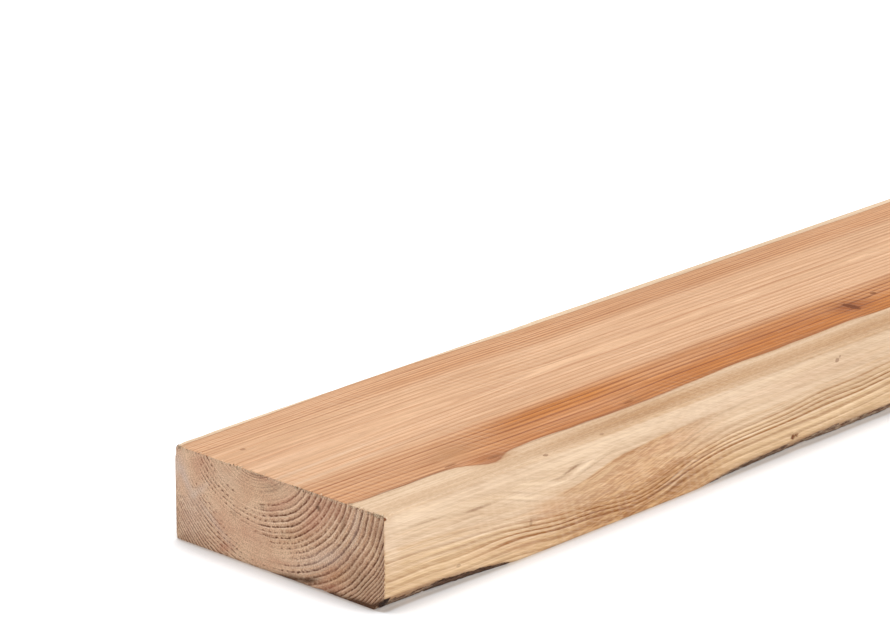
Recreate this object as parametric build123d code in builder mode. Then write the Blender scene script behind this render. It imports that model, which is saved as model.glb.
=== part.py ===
from build123d import *
import math
import os

# A rough-sawn softwood plank, in millimetres, lying flat. +X runs along its length from the end
# where its rings are best seen, +Y from its waney side face to the far one, and +Z is up.
# The origin is at the middle of its bottom face.

# The stock is sold as 50 x 150 x 2400: the saw left it 1 mm over in thickness and 2 mm under in width.
length = 2400.0
width = 148.0
thickness = 51.0

# The other three arrises are slightly worn all along.
arris_wear = 0.8

# One lower arris is waney: it reaches past the round outside of the trunk, which takes its corner off.
# The trunk sweeps gently, and it swells out past the arris at each whorl of branches, where only the
# wear is left.
trunk_radius = 95.0        # of the trunk's outside, beside that arris
trunk_lean = 45.0          # degrees from level to the outside's own normal there
wane_mean = 4.6            # how far the outside lies within the arris, between the whorls
wane_sweep = 0.7           # the trunk's sweep, to each side of that
wane_sweep_pitch = 1100.0
wane_sweep_crest = -60.0   # the place of its first crest, which lies beyond the first end
whorl_swelling = 12.0      # how far the trunk swells out at a whorl
whorl_half_length = 72.0
first_whorl = 165.0        # its distance from the first end
whorl_spacing = 520.0      # a season's growth in height
wane_blend = 0.6           # rounds the change from wane to plain arris

# The wane is cut out of a corner strip, so the trunk touches no other arris.
corner_reach = 30.0        # of the strip into the section
overshoot = 5.0            # of the strip past the section and past both ends
station_spacing = 40.0     # between the trunk's sections


def wane_depth(distance):
    """How deep the trunk's outside cuts in past the arris, at a distance from the first end: the mean with
    its sweep, less a bell curve for each whorl, or the wear where that is more, with a smooth change."""
    depth = wane_mean + wane_sweep * math.cos(2 * math.pi * (distance - wane_sweep_crest) / wane_sweep_pitch)
    for whorl in range(math.ceil(length / whorl_spacing) + 1):
        along = (distance - first_whorl - whorl * whorl_spacing) / whorl_half_length
        depth -= whorl_swelling * math.exp(-(along**2))
    return (depth + arris_wear + math.hypot(depth - arris_wear, wane_blend)) / 2


# The trunk runs past both ends of the plank, in evenly spaced sections.
station_count = math.ceil((length + 2 * overshoot) / station_spacing) + 1
station_step = (length + 2 * overshoot) / (station_count - 1)
with BuildPart() as trunk:
    for station in range(station_count):
        distance = station * station_step - overshoot
        axis_offset = trunk_radius + wane_depth(distance)
        axis_y = -width / 2 + axis_offset * math.cos(math.radians(trunk_lean))
        axis_z = axis_offset * math.sin(math.radians(trunk_lean))
        with BuildSketch(Plane.YZ.offset(distance - length / 2)):
            with Locations((axis_y, axis_z)):
                Circle(trunk_radius)
    loft()

# What the saw found missing: the corner strip, less the trunk.
with BuildPart() as missing_corner:
    with BuildSketch(Plane.YZ.offset(-length / 2 - overshoot)):
        with Locations((-width / 2 - overshoot, -overshoot)):
            Rectangle(
                corner_reach + overshoot,
                corner_reach + overshoot,
                align=(Align.MIN, Align.MIN),
            )
    extrude(amount=length + 2 * overshoot)
    add(trunk.part, mode=Mode.SUBTRACT)

# The plank: its sawn section with three worn arrises, along its whole length, less the missing corner.
with BuildPart() as plank:
    with BuildSketch(Plane.YZ.offset(-length / 2)) as section:
        Rectangle(width, thickness, align=(Align.CENTER, Align.MIN))
        waney_corner = section.vertices().group_by(Axis.Z)[0].sort_by(Axis.Y)[0]
        plain_corners = [v for v in section.vertices() if v != waney_corner]
        chamfer(plain_corners, length=arris_wear)
    extrude(amount=length)
    add(missing_corner.part, mode=Mode.SUBTRACT)

os.makedirs("parts", exist_ok=True)
plank.part.label = "plank"
export_step(plank.part, "parts/plank.step")
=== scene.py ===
import itertools
import math

import bpy
import numpy as np
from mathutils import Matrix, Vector


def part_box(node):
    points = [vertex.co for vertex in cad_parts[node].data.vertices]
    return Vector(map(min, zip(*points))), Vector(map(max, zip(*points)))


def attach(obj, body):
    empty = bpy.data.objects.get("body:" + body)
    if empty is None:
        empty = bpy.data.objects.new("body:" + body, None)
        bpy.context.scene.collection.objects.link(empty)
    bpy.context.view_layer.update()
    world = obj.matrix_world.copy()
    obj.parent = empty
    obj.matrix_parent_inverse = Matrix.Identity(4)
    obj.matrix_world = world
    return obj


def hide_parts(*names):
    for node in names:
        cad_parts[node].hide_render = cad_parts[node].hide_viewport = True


# A rough-sawn softwood plank on a pale floor, seen from its first end. Lengths are in metres, and mm makes
# a number of millimetres into metres. "along" is the distance from the first end, "across" is y, "up" is z.
mm = 0.001

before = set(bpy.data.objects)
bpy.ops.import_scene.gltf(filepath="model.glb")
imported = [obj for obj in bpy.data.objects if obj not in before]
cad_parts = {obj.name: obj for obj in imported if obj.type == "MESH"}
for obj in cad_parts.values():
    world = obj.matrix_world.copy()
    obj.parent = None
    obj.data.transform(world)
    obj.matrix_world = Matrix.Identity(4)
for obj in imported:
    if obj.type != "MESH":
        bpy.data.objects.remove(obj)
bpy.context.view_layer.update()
boxLow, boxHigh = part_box("plank")
length, width, thickness = boxHigh - boxLow
scene = bpy.context.scene
print("frame loaded:", [round(side, 4) for side in (length, width, thickness)])


# Camera: at the photograph's viewing angle, looking down at the first end.

cameraSetup = {
    "place": (-2643.5 * mm, -1480.1 * mm, 828.2 * mm),
    "turnFromLength": math.radians(46.59),   # of the view's level right from the plank's length
    "downward": math.radians(18.46),
    "lens": 180,
    "sensor": 36,
}


def makeCamera():
    turn, down = cameraSetup["turnFromLength"], cameraSetup["downward"]
    away = Vector((math.sin(turn), math.cos(turn), 0))
    looking = away * math.cos(down) - Vector((0, 0, math.sin(down)))
    lens = bpy.data.cameras.new("camera")
    lens.lens, lens.sensor_width = cameraSetup["lens"], cameraSetup["sensor"]
    lens.clip_end = 100
    camera = bpy.data.objects.new("camera", lens)
    camera.location = cameraSetup["place"]
    camera.rotation_euler = looking.to_track_quat("-Z", "Y").to_euler()
    scene.collection.objects.link(camera)
    scene.camera = camera


makeCamera()
print("camera placed")


# Helpers for arrays.

def latticeNoise(points, seed):
    # Smooth noise from -1 to 1: a random value at each whole-number place, from a hash of the place, joined
    # by smooth steps.
    base = np.floor(points).astype(np.int64)
    part = points - base
    part = part * part * (3 - 2 * part)
    total = np.zeros(points.shape[:-1])
    for corner in itertools.product((0, 1), repeat=points.shape[-1]):
        place = base + np.array(corner)
        mixed = np.full(total.shape, seed * 7919 + 17, np.int64)
        for axis, factor in zip(range(points.shape[-1]), (374761393, 668265263, 2246822519)):
            mixed = (mixed ^ (place[..., axis] * factor)) & 0xFFFFFFFF
            mixed = (mixed * 1274126177 + 12345) & 0xFFFFFFFF
            mixed ^= mixed >> 15
        weight = np.prod(np.where(np.array(corner) == 1, part, 1 - part), axis=-1)
        total += weight * ((mixed & 0xFFFFF) / 0x80000 - 1)
    return total


def noiseAt(seed, *coordinates):
    # Each coordinate is a place with the noise's size along it in millimetres. A lone one gets another at 0.
    scaled = [place / (size * mm) for place, size in coordinates]
    if len(scaled) == 1:
        scaled.append(0 * scaled[0])
    return latticeNoise(np.stack(np.broadcast_arrays(*scaled), -1), seed)


def noiseSum(seed, table, along, *others):
    # Noises added up: each row has a height, and the noise's size along the plank and crossways, in
    # millimetres.
    return sum(
        height * noiseAt(seed + number, (along, pitch), *((other, wide) for other in others))
        for number, (height, pitch, wide) in enumerate(table)
    )


def smoothStep(low, high, value):
    part = np.clip((value - low) / (high - low), 0, 1)
    return part * part * (3 - 2 * part)


def fromEdge(place, total):
    # The distance to the nearer of two edges, at 0 and at total.
    return np.minimum(place, total - place)


def spreadPlaces(total, spacing):
    # Places from 0 to total whose gaps follow spacing(place): equal steps of the summed density.
    fine = np.linspace(0, total, 40001)
    density = 1 / spacing(fine)
    summed = np.concatenate([[0], np.cumsum((density[1:] + density[:-1]) / 2) * (fine[1] - fine[0])])
    return np.interp(np.linspace(0, summed[-1], math.ceil(summed[-1]) + 1), summed, fine)


def addPatches(patches, first, second):
    # The sum of soft oval patches, each amount * exp(-distance squared), with its distance in half sizes
    # along its own turned axes.
    total = np.zeros(np.broadcast(first, second).shape)
    for a, b, halfA, halfB, turn, amount in patches:
        cosTurn, sinTurn = math.cos(math.radians(turn)), math.sin(math.radians(turn))
        da, db = first - a * mm, second - b * mm
        longWay = (da * cosTurn + db * sinTurn) / (halfA * mm)
        shortWay = (db * cosTurn - da * sinTurn) / (halfB * mm)
        total += amount * np.exp(-longWay**2 - shortWay**2)
    return total


def addPiece(name, points, faces, values):
    # A smooth piece, with the values or vectors of its points that its material reads.
    mesh = bpy.data.meshes.new(name)
    mesh.from_pydata(points, [], faces.tolist())
    mesh.polygons.foreach_set("use_smooth", np.ones(len(faces), bool))
    for key, value in values.items():
        kind, field = ("FLOAT", "value") if value.ndim == 1 else ("FLOAT_VECTOR", "vector")
        mesh.attributes.new(key, kind, "POINT").data.foreach_set(field, value.astype(np.float32).ravel())
    mesh.update()
    piece = bpy.data.objects.new(name, mesh)
    scene.collection.objects.link(piece)
    print(name + ":", len(points), "points,", len(faces) * (faces.shape[1] - 2), "triangles")
    return piece


# The tree inside the plank: its growth rings, whorls of branches and knots.

tree = {
    "pithAcross": 13 * mm,
    "pithUp": 54 * mm,
    "pithDrift": (-9 * mm, 2.5 * mm),        # across and up, from one end of the plank to the other
    "pithWander": 2.2 * mm,
    "ringCentreAcross": (0.362, -6.55),      # where a ring's centre lies, as shares of its radius and of
    "ringCentreUp": (0.715, -9.08),          # its radius squared
    "ringStretch": 1.175,                    # of a ring in width over height
    # Ring widths by radius, in millimetres: the last years are tight beside the wane, tighter still further
    # along, and as wide as ever on the far side.
    "innerWidths": ((0, 2.9), (42, 2.9), (52, 2.5), (57, 2.1), (61, 2.0), (64, 2.3), (71, 2.2), (76, 1.7)),
    "nearWidths": ((79, 1.2), (130, 1.15)),
    "laterWidths": ((78.3, 0.95), (80, 0.68), (81.3, 0.62), (81.9, 1.3), (130, 1.15)),
    "farWidths": ((130, 2.3),),
    "endWidths": ((78.4, 1.4), (79.8, 0.75), (130, 0.7)),    # as the sawn ends show them
    "laterFrom": (40 * mm, 115 * mm),
    "firstCount": 0.22,
    "heartRadius": 62.7 * mm,
    "whorlFirst": 165 * mm,
    "whorlSpacing": 520 * mm,
    "whorlHalfLength": 72 * mm,
    # How far the grain bows outwards beside each whorl, in millimetres at the bark, by the place along.
    "bowCourse": (
        (0, 0), (30, 0.25), (60, 0.9), (90, 2.1), (110, 3.0), (130, 3.7), (150, 4.0), (185, 4.4), (200, 4.0),
        (215, 3.0), (235, 1.8), (262, 0.9), (290, 0.7), (350, 0.4), (390, -0.3), (460, 0), (520, 0),
    ),
    "bowBlur": 9 * mm,
    "scar": (92 * mm, 14 * mm, 5.2 * mm),    # the heartwood swells on a branch: place, half length, height
    "scarAcross": (-20 * mm, -45 * mm),      # it fades in between these places
    "raggedness": ((0.8 * mm, 60, 20), (0.5 * mm, 13, 9)),    # noises of the heartwood's edge
    "wobble": ((0.5, 140, 45), (0.3, 38, 12)),    # noises of the rings, in millimetres
    "nearSide": (30 * mm, -20 * mm),         # across: the far side's rings give way to the near side's
    "barkRadius": 80 * mm,
    "knotStart": 22 * mm,                    # how far before its whorl's place a knot leaves the pith
    "knotClimb": 0.3,                        # and how far it climbs for each step outwards
    "knotBulge": (5.5 * mm, 2.1),            # of the rings round a knot, and its reach in knot radii
    "knotTaper": (0.06, 0.94),               # a knot's size at the pith, and how much it gains to the bark
    "knotOval": 1.15,                        # of a knot in length over width
    "deadFrom": (30 * mm, 45 * mm),          # how far out a dead branch's black rim starts
    "knotsFrom": 26 * mm,                    # no knot shows nearer to the pith
}

whorlCount = math.ceil(length / tree["whorlSpacing"])

# Each knot: the whorl it grew from, degrees round the pith from level across, how far off the whorl's place
# it started and its radius near the surface, both in millimetres, and 1 if it was dead as the trunk grew
# round it.
knots = [
    (0, -118, 12, 8.0, 0), (0, -20, -8, 7.0, 1), (1, -158, 6, 7.5, 0), (1, -75, -14, 9.0, 0),
    (2, -30, 10, 8.5, 0), (2, -100, -10, 6.5, 1), (3, -150, -6, 9.0, 1), (3, -60, 14, 7.5, 0),
    (4, -128, 0, 7.0, 0), (4, -25, -12, 8.0, 0),
]


def ringRadius(along, across, up):
    # Each growth ring is an ellipse whose centre drifts from the pith as the ring grows, so a point's ring
    # radius is the one whose ellipse passes through it: found by stepping half way there, over and over.
    share = along / length
    wander = tree["pithWander"] * smoothStep(0, 250 * mm, along)
    wanderAcross, wanderUp = (wander * noiseAt(seed, (along, pitch)) for seed, pitch in ((4, 270), (3, 330)))
    pithAcross = tree["pithAcross"] + tree["pithDrift"][0] * share + wanderAcross
    pithUp = tree["pithUp"] + tree["pithDrift"][1] * share + wanderUp
    outAcross, outUp = across - pithAcross, up - pithUp
    radius = np.hypot(outAcross, outUp)
    (startAcross, growAcross), (startUp, growUp) = tree["ringCentreAcross"], tree["ringCentreUp"]
    for _ in range(16):
        centreAcross = (startAcross + growAcross * radius) * radius
        centreUp = (startUp + growUp * radius) * radius
        reached = np.hypot(outAcross - centreAcross, tree["ringStretch"] * (outUp - centreUp))
        radius = (radius + reached) / 2
    return radius


def whorlBow(along):
    # How far the grain bows out: the course's straight runs, rounded by a mean of places nearby.
    course = np.array(tree["bowCourse"]).T * mm
    shifts = np.linspace(-1, 1, 5) * tree["bowBlur"]
    runs = [np.interp(np.mod(along + shift, tree["whorlSpacing"]), *course) for shift in shifts]
    return sum(runs) / len(runs)


def knotPlace(knot, along, across, up):
    # How far out from the pith a point lies on the knot's own direction, and its distance off the knot's
    # axis along the plank and round the trunk, in knot radii.
    whorl, direction, offset, radius, _ = knot
    turn = math.radians(direction)
    outAcross, outUp = across - tree["pithAcross"], up - tree["pithUp"]
    outward = outAcross * math.cos(turn) + outUp * math.sin(turn)
    sideways = -outAcross * math.sin(turn) + outUp * math.cos(turn)
    start = tree["whorlFirst"] + whorl * tree["whorlSpacing"] + offset * mm - tree["knotStart"]
    least, gain = tree["knotTaper"]
    size = radius * mm * (least + gain * np.clip(outward / tree["barkRadius"], 0, 1.3))
    offAlong = along - start - tree["knotClimb"] * outward
    return outward, offAlong / (size * tree["knotOval"]), sideways / size


def ringCount(radius, widths):
    # How many rings lie within a radius: the sum of one over the ring width.
    fine = np.arange(0, 130, 0.05)
    widths = np.array(tree["innerWidths"] + widths).T
    counts = tree["firstCount"] + np.cumsum(0.05 / np.interp(fine, *widths))
    return np.interp(radius / mm, fine, counts)


def grainAt(along, across, up):
    # Ring count, knot coordinates and how many millimetres deep in the heartwood a point lies.
    radius = ringRadius(along, across, up)
    radius = radius - whorlBow(along) * (radius / tree["barkRadius"]) ** 2
    wobble = noiseSum(11, tree["wobble"], along, across, up)
    radius = radius + wobble * mm * np.clip(radius / (30 * mm), 0.3, 1)
    reach = np.full(radius.shape, 9.0)
    knotAlong, knotRound = np.full(radius.shape, 4.0), np.full(radius.shape, 4.0)
    dead = np.zeros(radius.shape)
    height, bulgeReach = tree["knotBulge"]
    for knot in knots:
        outward, offAlong, offRound = knotPlace(knot, along, across, up)
        off = np.where(outward > tree["knotsFrom"], np.hypot(offAlong, offRound), 9.0)
        bulge = height * np.exp(-((off / bulgeReach) ** 2))
        radius = radius - bulge * np.clip(outward / tree["barkRadius"], 0, 1.2)
        nearer = off < reach
        reach = np.where(nearer, off, reach)
        knotAlong = np.where(nearer, np.clip(offAlong, -4, 4), knotAlong)
        knotRound = np.where(nearer, np.clip(offRound, -4, 4), knotRound)
        dead = np.where(nearer, knot[-1] * smoothStep(*tree["deadFrom"], outward), dead)
    near = smoothStep(*tree["nearSide"], across)
    later = smoothStep(*tree["laterFrom"], along)
    firstCount, laterCount, farCount, endCount = (
        ringCount(radius, tree[name]) for name in ("nearWidths", "laterWidths", "farWidths", "endWidths")
    )
    ragged = noiseSum(13, tree["raggedness"], along, across)
    scarPlace, scarHalf, swelling = tree["scar"]
    scar = swelling * np.exp(-(((along - scarPlace) / scarHalf) ** 2))
    scar = scar * smoothStep(*tree["scarAcross"], across)
    return {
        "radius": radius,
        "ring": near * ((1 - later) * firstCount + later * laterCount) + (1 - near) * farCount,
        "endRing": near * endCount + (1 - near) * farCount,
        "heart": np.clip((tree["heartRadius"] - radius - ragged + scar) / mm, -8, 8),
        "later": later,
        "dead": dead,
        "reach": np.minimum(reach, 4),
        "knot": np.stack([knotAlong, knotRound, reach * 0], -1),
    }


# The plank's skin: its outline carried along the length, and both sawn ends.

plank = {
    "cell": 1.25 * mm,                 # of the skin, round the section
    "cornerCell": 0.35 * mm,           # at every arris
    "cellGrowth": 0.4,                 # away from an arris
    "nearSpacing": 5 * mm,             # of the sections, in the first stretch
    "nearLength": 420 * mm,
    "knotSpacing": 4.5 * mm,           # of the sections, beside the knots
    "farSpacing": 21 * mm,
    "knotStretch": 38 * mm,
    "arrisWear": (0.4 * mm, 0.45 * mm),    # least, and how much more the noise adds
    "endWear": (0.15 * mm, 0.45 * mm),
    "sawWave": (0.22 * mm, 47, 55),    # height, and size along and across in millimetres
    "knotEdge": 1.1,                   # where the relief rises beside a knot, in knot radii
    "knotRise": 0.1 * mm,
    "reliefSettle": 4 * mm,            # the relief of a face dies away this near an arris
    "endRoughness": 0.3 * mm,
    "endSettle": (2.2 * mm, 0.1 * mm), # this near to an arris, the relief of an end settles to this depth
    "endZone": 0.9 * mm,               # points this near to an end belong to it
    "sideZone": 2.5 * mm,              # and these to the near side and the top
    "topZone": 1.5 * mm,
    "arrisZone": 4 * mm,               # a face is worn this near to an arris at most
    "endBand": 0.86,                   # where the ends' band starts on the OFBake map
    # The wane, as the solid has it.
    "trunkRadius": 95 * mm,
    "trunkLean": math.radians(45),
    "waneMean": 4.6 * mm,
    "waneSweep": 0.7 * mm,
    "waneSweepPitch": 1100 * mm,
    "waneSweepCrest": -60 * mm,
    "whorlSwelling": 12 * mm,
    "waneBlend": 0.6 * mm,
    "plainWear": 0.35 * mm,
    "waneShare": 6 * mm,               # the stretch of the outline that the wane's curve takes, each way
}


def waneDepth(along):
    # The trunk's outside within the arris: the mean with its sweep, less a bell curve for each whorl, or the
    # wear where that is more.
    turn = 2 * math.pi * (along - plank["waneSweepCrest"]) / plank["waneSweepPitch"]
    depth = plank["waneMean"] + plank["waneSweep"] * np.cos(turn)
    for whorl in range(whorlCount + 1):
        off = (along - tree["whorlFirst"] - whorl * tree["whorlSpacing"]) / tree["whorlHalfLength"]
        depth = depth - plank["whorlSwelling"] * np.exp(-(off**2))
    return (depth + plank["plainWear"] + np.hypot(depth - plank["plainWear"], plank["waneBlend"])) / 2


def wanePoint(along, share):
    # A point of the wane's arc: share is 0 at its middle, 1 where it meets the side face and -1 where it
    # meets the bottom. Gives the distances off the side plane and off the floor, the leg that the wane takes
    # of each face, and the turn of the outward direction.
    radius = plank["trunkRadius"]
    centre = (radius + waneDepth(along)) * math.cos(plank["trunkLean"])
    leg = centre - np.sqrt(radius**2 - centre**2)
    half = np.arctan2(centre, centre - leg) - math.pi / 4
    turn = 1.25 * math.pi - share * half
    return centre + radius * np.cos(turn), centre + radius * np.sin(turn), leg, turn


def raggedWear(sizes, rough):
    # The wear at each place: the least of it, and more by the square of the noise.
    least, more = sizes
    return least + more * np.clip(rough, 0, 2) ** 2


def arcRound(off, wear):
    # Bends a face beside an arris into half of a quarter circle of radius wear: its distance off the arris
    # becomes a turn of up to 45 degrees. Gives the new distance, and how far inwards the point lies.
    turn = np.clip(1 - off / wear, 0, 1) * math.pi / 4
    worn = off < wear
    return np.where(worn, wear - wear * np.sin(turn), off), np.where(worn, wear - wear * np.cos(turn), 0)


def roundCorner(first, second, wear):
    # Bends both faces beside an arris. first and second are the distances off the two planes that meet in
    # it, of which one is zero.
    onFirst = second <= first
    moved, inward = arcRound(np.maximum(first, second), wear)
    return np.where(onFirst, moved, inward), np.where(onFirst, inward, moved)


def stationSpacing(place):
    # Between sections: close beside the ends and beside the knots of each whorl, and wider away from them.
    spacing = np.where(place < plank["nearLength"], plank["nearSpacing"], plank["farSpacing"])
    for whorl in range(1, whorlCount):
        off = np.abs(place - tree["whorlFirst"] - whorl * tree["whorlSpacing"])
        beside = plank["knotSpacing"] + np.maximum(off - plank["knotStretch"], 0) * 0.3
        spacing = np.minimum(spacing, beside)
    return np.minimum(spacing, plank["cornerCell"] + plank["cellGrowth"] * fromEdge(place, length))


def cornerSpacing(total):
    # Round the section: close beside the arrises, and at most one cell.
    least, growth = plank["cornerCell"], plank["cellGrowth"]
    return lambda place: np.minimum(plank["cell"], least + growth * fromEdge(place, total))


def arcThenFlat(place, distance, total, sign):
    # The bottom (sign -1) or the near side (sign 1) from the wane's middle on: the wane's arc, then the flat
    # face. Gives the distances along the face and square to it.
    share = plank["waneShare"]
    offArc, upArc, leg, _ = wanePoint(place, sign * np.clip(distance / share, 0, 1))
    alongArc, squareArc = (offArc, upArc) if sign < 0 else (upArc, offArc)
    flat = leg + (distance - share) / (total - share) * (total - leg)
    return np.where(distance < share, alongArc, flat), np.where(distance < share, squareArc, 0)


def sectionOutline(stations, columns, rows):
    # The closed outline of each section, as distances off the near side plane and off the floor: along the
    # bottom from the wane's middle, up the far side, back along the top and down the near side.
    place = stations[:, None]
    bottomOff, bottomUp = arcThenFlat(place, columns, width, -1)
    nearUp, nearOff = arcThenFlat(place, rows, thickness, 1)
    wide, high = np.broadcast_to(columns, bottomOff.shape), np.broadcast_to(rows, nearOff.shape)
    farOff, topUp = np.full(high.shape, width), np.full(wide.shape, thickness)
    off = np.concatenate([bottomOff[:, :-1], farOff[:, :-1], wide[:, :0:-1], nearOff[:, :0:-1]], 1)
    up = np.concatenate([bottomUp[:, :-1], high[:, :-1], topUp[:, :0:-1], nearUp[:, :0:-1]], 1)
    for seed, farSide, top in ((21, True, False), (22, True, True), (23, False, True)):
        rough = noiseAt(seed, (place, 23)) + 0.6 * noiseAt(seed + 9, (place, 6))
        a = width - off if farSide else off
        b = thickness - up if top else up
        beside = np.maximum(a, b) < plank["arrisZone"]
        roundA, roundB = roundCorner(a, b, raggedWear(plank["arrisWear"], rough))
        a, b = np.where(beside, roundA, a), np.where(beside, roundB, b)
        off = width - a if farSide else a
        up = thickness - b if top else b
    return off, up


def inwardOf(off, up):
    # The inward direction at each place of the outline: its tangent, from neighbour to neighbour, turned by
    # a quarter.
    tangent = np.stack([np.roll(side, -1, 1) - np.roll(side, 1, 1) for side in (off, up)], -1)
    tangent /= np.linalg.norm(tangent, axis=-1, keepdims=True)
    return np.stack([-tangent[..., 1], tangent[..., 0]], -1)


def endRelief(across, up, seed):
    # How far the saw left an end behind its plane: broad chatter and torn fibres.
    slow = noiseAt(seed, (across, 21), (up, 15))
    fine = noiseAt(seed + 1, (across, 2.6), (up, 2.6)) ** 2
    return plank["endRoughness"] * (0.4 + 0.35 * slow + 0.5 * fine)


# Dents and chips: the place along, across and up, how far they reach, how deep, and which way they press in.
chips = [
    ((0.3, -73.2, 51.0), 3.6, 1.9, (0.5, 0.6, -1.0)),
    ((0.0, 73.5, 50.5), 4.0, 1.2, (0.3, -1.0, -0.8)),
    ((0.0, -74.0, 22.0), 3.0, 0.5, (1.0, 0.4, 0.0)),
    ((0.0, -30.0, 0.0), 3.0, 0.4, (0.6, 0.0, 1.0)),
    ((0.0, -14.0, 51.0), 4.0, 0.5, (0.8, 0.0, -0.8)),
    ((317.0, -74.0, 8.3), 3.4, 1.5, (0.0, 1.0, 0.2)),
    ((0.0, 30.0, 51.0), 3.0, 0.6, (0.8, 0.0, -0.8)),
    ((2400.0, -74.0, 51.0), 5.0, 1.6, (-0.6, 0.6, -0.8)),
    ((2400.0, 40.0, 0.0), 6.0, 1.2, (-0.8, 0.0, 0.8)),
    ((1410.0, 74.0, 51.0), 9.0, 1.8, (0.0, -0.7, -0.7)),
    ((830.0, -74.0, 51.0), 7.0, 1.2, (0.0, 0.7, -0.7)),
    ((1930.0, 74.0, 0.0), 8.0, 1.5, (0.0, -0.7, 0.7)),
]


def pressChips(points):
    # Each chip moves points by its depth * exp(-distance squared), with the distance in reaches and noise to
    # make it rough.
    for place, reach, depth, way in chips:
        middle = np.array(place) * mm + np.array([-length / 2, 0, 0])
        away = np.linalg.norm((points - middle) / (reach * mm), axis=-1)
        rough = 1 + 0.5 * latticeNoise(points / (1.1 * mm), 31)
        push = np.array(way) / np.linalg.norm(way)
        points = points + (depth * mm * np.exp(-(away**2)) * rough)[..., None] * push
    return points


def cellCorners(u, v, order):
    # The places on the map of every cell's corners, in their order round its face.
    pairs = [(u[:-1], v[:-1]), (u[:-1], v[1:]), (u[1:], v[1:]), (u[1:], v[:-1])]
    places = [np.stack(np.broadcast_arrays(pairs[n][0][:, None], pairs[n][1][None, :]), -1) for n in order]
    return np.stack(places, 2).reshape(-1, 2)


def mapPlank(mesh, stations, skin, columns, rows):
    # A map to bake through, named OFBake: the long faces unrolled, with the length across the map and the
    # way round the section up it, and both ends, far larger for their size, in a band above.
    section = skin[len(stations) // 2, :, 1:]
    steps = np.linalg.norm(np.roll(section, -1, 0) - section, axis=-1)
    band = plank["endBand"]
    v = band * 0.99 * (np.concatenate([[0], np.cumsum(steps)]) / steps.sum())
    parts = [cellCorners(0.002 + 0.996 * stations / length, v, (0, 1, 2, 3))]
    for number, order in enumerate(((0, 1, 2, 3), (0, 3, 2, 1))):
        u = 0.5 * number + 0.005 + 0.49 * columns / width
        parts.append(cellCorners(u, band + (1 - band) * (0.02 + 0.96 * rows / thickness), order))
    uvLayer = mesh.uv_layers.new(name="OFBake")
    uvLayer.uv.foreach_set("vector", np.concatenate(parts).astype(np.float32).ravel())


def splitLoop(loop, wide, tall):
    # The sides of a closed outline: bottom and top from near to far, far and near from bottom to top.
    near = np.concatenate([loop[2 * wide + tall:], loop[:1]])[::-1]
    return loop[:wide + 1], loop[wide:wide + tall + 1], loop[wide + tall:2 * wide + tall + 1][::-1], near


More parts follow.
